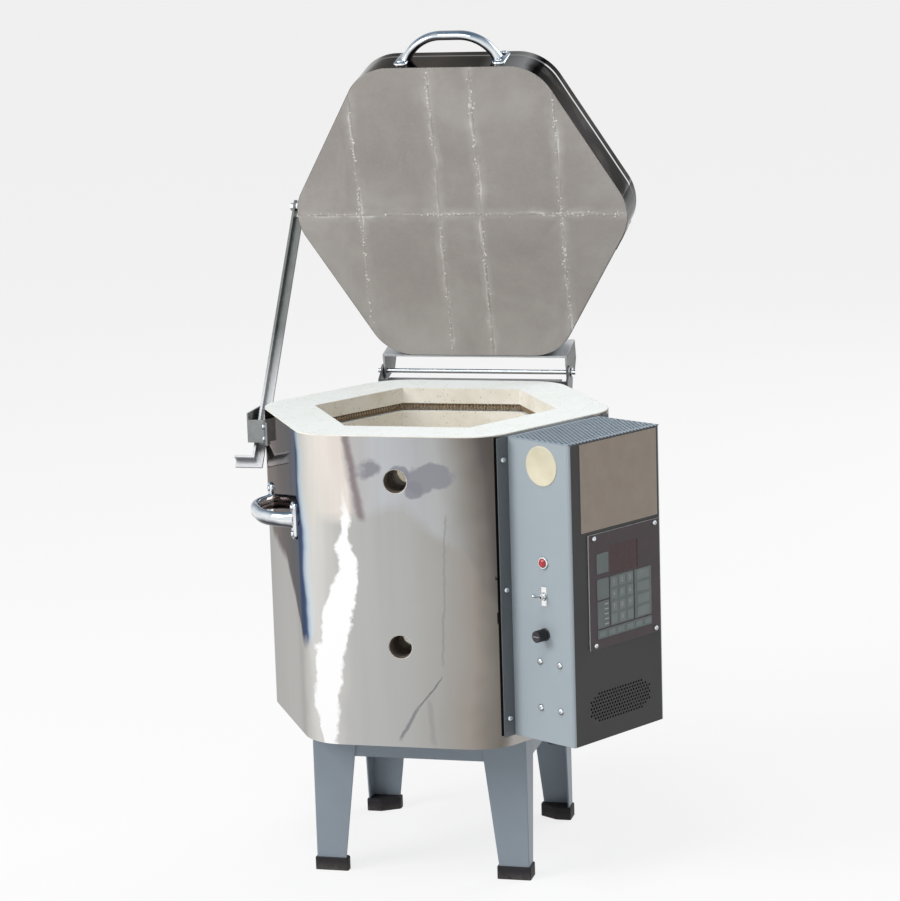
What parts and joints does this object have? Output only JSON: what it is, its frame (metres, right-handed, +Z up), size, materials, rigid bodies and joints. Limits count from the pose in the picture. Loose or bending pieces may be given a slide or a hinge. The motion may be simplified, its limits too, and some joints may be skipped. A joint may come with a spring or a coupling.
{
  "type": "electric kiln",
  "caption": "Top loading hexagonal electric kiln on a legged stand, with a hinged brick lid on a prop arm and a side control box.",
  "frame": {"origin": "centre of the bounding box's base, on the floor under the feet", "axes": "+Z up through the firing chamber, -Y to the front, where the peepholes are, +X to the right"},
  "size_m": [0.5762, 0.5092, 1.0622],
  "materials": {
    "polished_steel": "mirror polished stainless sheet",
    "insulating_brick": "coated, matt and porous",
    "lid_brick": "fired, matt",
    "zinc_steel": "zinc plated",
    "bright_rod": "bright zinc",
    "chromed": "chromed",
    "stand_steel": "satin grey",
    "boot": "matt black",
    "box_metal": "satin blue grey",
    "controller": "satin dark brown",
    "display": "dark red window",
    "keys": "satin grey green",
    "board": "coated board",
    "element_wire": "oxidised resistance wire",
    "porcelain": "unglazed white",
    "probe_sheath": "sheathed",
    "lamp_lens": "red, clear",
    "lamp_body": "bright bezel",
    "switch_metal": "nickel plated",
    "black_plastic": "black moulding",
    "transformer_iron": "varnished laminations"
  },
  "bodies": {
    "body": {"jacket": "polished_steel", "wall_course_top": "insulating_brick", "wall_course_middle": "insulating_brick", "wall_course_bottom": "insulating_brick", "peephole_brick_top": "insulating_brick", "peephole_brick_bottom": "insulating_brick", "floor_slab": "insulating_brick", "prop_bracket": "zinc_steel", "hinge_base": "zinc_steel", "base_plate": "zinc_steel", "box_back": "zinc_steel", "hinge_rod": "bright_rod", "rod_clips": "bright_rod", "body_handle_left": "chromed", "body_handle_right": "chromed", "jacket_screws": "chromed", "relay_screws": "chromed", "controller_screws": "chromed", "stand_leg_front_left": "stand_steel", "stand_leg_front_right": "stand_steel", "stand_leg_back_left": "stand_steel", "stand_leg_back_right": "stand_steel", "stand_rails": "stand_steel", "leg_boot_front_left": "boot", "leg_boot_front_right": "boot", "leg_boot_back_left": "boot", "leg_boot_back_right": "boot", "box_cover": "box_metal", "box_top_vent": "box_metal", "controller_plate": "controller", "display_window": "display", "keypad": "keys", "controller_board": "board", "terminal_strip": "board", "element_top": "element_wire", "element_middle": "element_wire", "element_bottom": "element_wire", "feed_bushings": "porcelain", "thermocouple_block": "porcelain", "thermocouple": "probe_sheath", "pilot_lamp_lens": "lamp_lens", "pilot_lamp_body": "lamp_body", "toggle_body": "switch_metal", "fuse_body": "black_plastic", "power_relay": "black_plastic", "cord_gland": "black_plastic", "transformer": "transformer_iron"},
    "lid": {"lid_bricks": "lid_brick", "lid_band": "polished_steel", "lid_hinge_channel": "zinc_steel", "lid_handle": "chromed", "lid_screws": "chromed", "prop_pivot_bolt": "bright_rod"},
    "prop_arm": {"prop_arm": "zinc_steel"},
    "toggle": {"toggle_lever": "switch_metal"},
    "fuse_cap": {"fuse_cap": "black_plastic"}
  },
  "joints": [
    {"name": "lid_hinge", "type": "hinge", "parent": "body", "child": "lid", "pos_m": [-0.02006, 0.20342, 0.595], "axis": [1, 0, 0], "range_deg": [-5, 75.8]},
    {"name": "prop_pivot", "type": "hinge", "parent": "lid", "child": "prop_arm", "pos_m": [-0.26216, 0.18212, 0.824], "axis": [1, 0, 0], "range_deg": [-34.2, 2.4]},
    {"name": "power_toggle", "type": "hinge", "parent": "body", "child": "toggle", "pos_m": [0.16292, -0.23456, 0.39], "axis": [0.866, -0.5, 0], "range_deg": [0, 28]},
    {"name": "fuse_cap_turn", "type": "hinge", "parent": "body", "child": "fuse_cap", "pos_m": [0.16042, -0.23889, 0.342], "axis": [-0.5, -0.866, 0], "range_deg": [0, 60]}
  ],
  "couplings": [
    {"joint": "prop_pivot", "follows": "lid_hinge", "ratio": -0.45}
  ]
}
